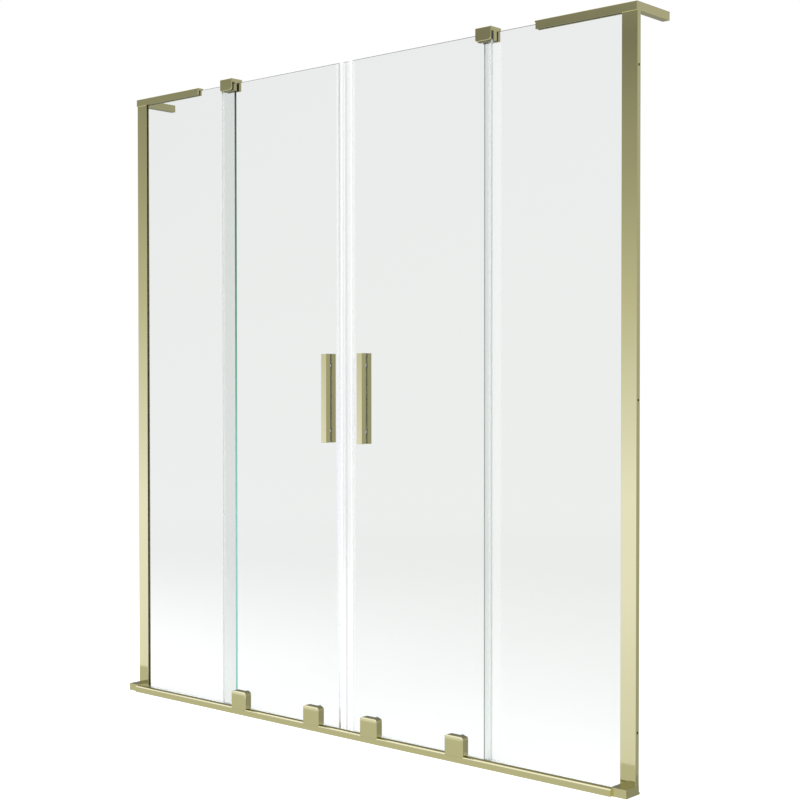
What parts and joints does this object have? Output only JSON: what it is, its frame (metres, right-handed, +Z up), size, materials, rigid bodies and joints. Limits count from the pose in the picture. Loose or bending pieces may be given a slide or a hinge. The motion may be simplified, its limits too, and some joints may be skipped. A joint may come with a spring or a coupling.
{
  "type": "sliding bath screen",
  "caption": "Sliding bath screen for an alcove: fixed glass panes at the walls and glass doors that roll apart on a bottom rail, in champagne gold metal",
  "frame": {"origin": "middle of the bottom rail's underside, on the bath's rim", "axes": "+X to the right along the rail, +Y through the glass into the bath, +Z up"},
  "size_m": [1.5, 0.1505, 1.5],
  "materials": {
    "gold_metal": "polished",
    "stainless": "brushed",
    "glass": "polished",
    "clear_seal": "clear",
    "magnet": "matte",
    "nylon": "matte",
    "dark_nylon": "matte",
    "dark_rubber": "matte"
  },
  "bodies": {
    "root": {"wall_profile_left": "gold_metal", "rail_end_block_left": "gold_metal", "top_bracket_left": "gold_metal", "guide_block_left": "gold_metal", "fixed_glass_left": "glass", "wall_gasket_left": "dark_rubber", "fixed_bottom_seal_left": "clear_seal", "wall_profile_right": "gold_metal", "rail_end_block_right": "gold_metal", "top_bracket_right": "gold_metal", "guide_block_right": "gold_metal", "fixed_glass_right": "glass", "wall_gasket_right": "dark_rubber", "fixed_bottom_seal_right": "clear_seal", "bottom_rail": "gold_metal", "rail_end_screws": "gold_metal", "set_screws": "gold_metal", "bracket_liners": "dark_nylon", "guide_liners": "dark_nylon", "guide_pads": "dark_nylon"},
    "left_door": {"door_glass_left": "glass", "meeting_seal_left": "clear_seal", "magnet_strip_left": "magnet", "side_seal_left": "clear_seal", "bottom_seal_left": "clear_seal", "handle_front_left": "gold_metal", "handle_back_left": "gold_metal", "handle_gaskets_left": "clear_seal", "handle_screws_left": "stainless", "glass_sleeves_left": "clear_seal", "carriage_cover_outer_left": "gold_metal", "carriage_cover_inner_left": "gold_metal", "carriage_frame_outer_left": "stainless", "carriage_frame_inner_left": "stainless", "wheel_axles_left": "stainless", "carriage_bolts_left": "stainless", "carriage_gaskets_left": "clear_seal", "clamp_discs_left": "gold_metal"},
    "right_door": {"door_glass_right": "glass", "meeting_seal_right": "clear_seal", "magnet_strip_right": "magnet", "side_seal_right": "clear_seal", "bottom_seal_right": "clear_seal", "handle_front_right": "gold_metal", "handle_back_right": "gold_metal", "handle_gaskets_right": "clear_seal", "handle_screws_right": "stainless", "glass_sleeves_right": "clear_seal", "carriage_cover_outer_right": "gold_metal", "carriage_cover_inner_right": "gold_metal", "carriage_frame_outer_right": "stainless", "carriage_frame_inner_right": "stainless", "wheel_axles_right": "stainless", "carriage_bolts_right": "stainless", "carriage_gaskets_right": "clear_seal", "clamp_discs_right": "gold_metal"},
    "left_outer_wheel": {"wheel_outer_left": "nylon"},
    "left_inner_wheel": {"wheel_inner_left": "nylon"},
    "right_outer_wheel": {"wheel_outer_right": "nylon"},
    "right_inner_wheel": {"wheel_inner_right": "nylon"}
  },
  "joints": [
    {"name": "left_door_slide", "type": "slide", "parent": "root", "child": "left_door", "axis": [-1, 0, 0], "range_m": [0, 0.285]},
    {"name": "left_outer_wheel_spin", "type": "hinge", "parent": "left_door", "child": "left_outer_wheel", "pos_m": [-0.33075, 0, 0.0256], "axis": [0, 1, 0], "continuous": true},
    {"name": "left_inner_wheel_spin", "type": "hinge", "parent": "left_door", "child": "left_inner_wheel", "pos_m": [-0.08875, 0, 0.0256], "axis": [0, 1, 0], "continuous": true},
    {"name": "right_door_slide", "type": "slide", "parent": "root", "child": "right_door", "axis": [1, 0, 0], "range_m": [0, 0.285]},
    {"name": "right_outer_wheel_spin", "type": "hinge", "parent": "right_door", "child": "right_outer_wheel", "pos_m": [0.33075, 0, 0.0256], "axis": [0, 1, 0], "continuous": true},
    {"name": "right_inner_wheel_spin", "type": "hinge", "parent": "right_door", "child": "right_inner_wheel", "pos_m": [0.08875, 0, 0.0256], "axis": [0, 1, 0], "continuous": true}
  ],
  "couplings": [
    {"joint": "left_outer_wheel_spin", "follows": "left_door_slide", "rad_per_m": -83.333},
    {"joint": "left_inner_wheel_spin", "follows": "left_door_slide", "rad_per_m": -83.333},
    {"joint": "right_outer_wheel_spin", "follows": "right_door_slide", "rad_per_m": 83.333},
    {"joint": "right_inner_wheel_spin", "follows": "right_door_slide", "rad_per_m": 83.333}
  ]
}
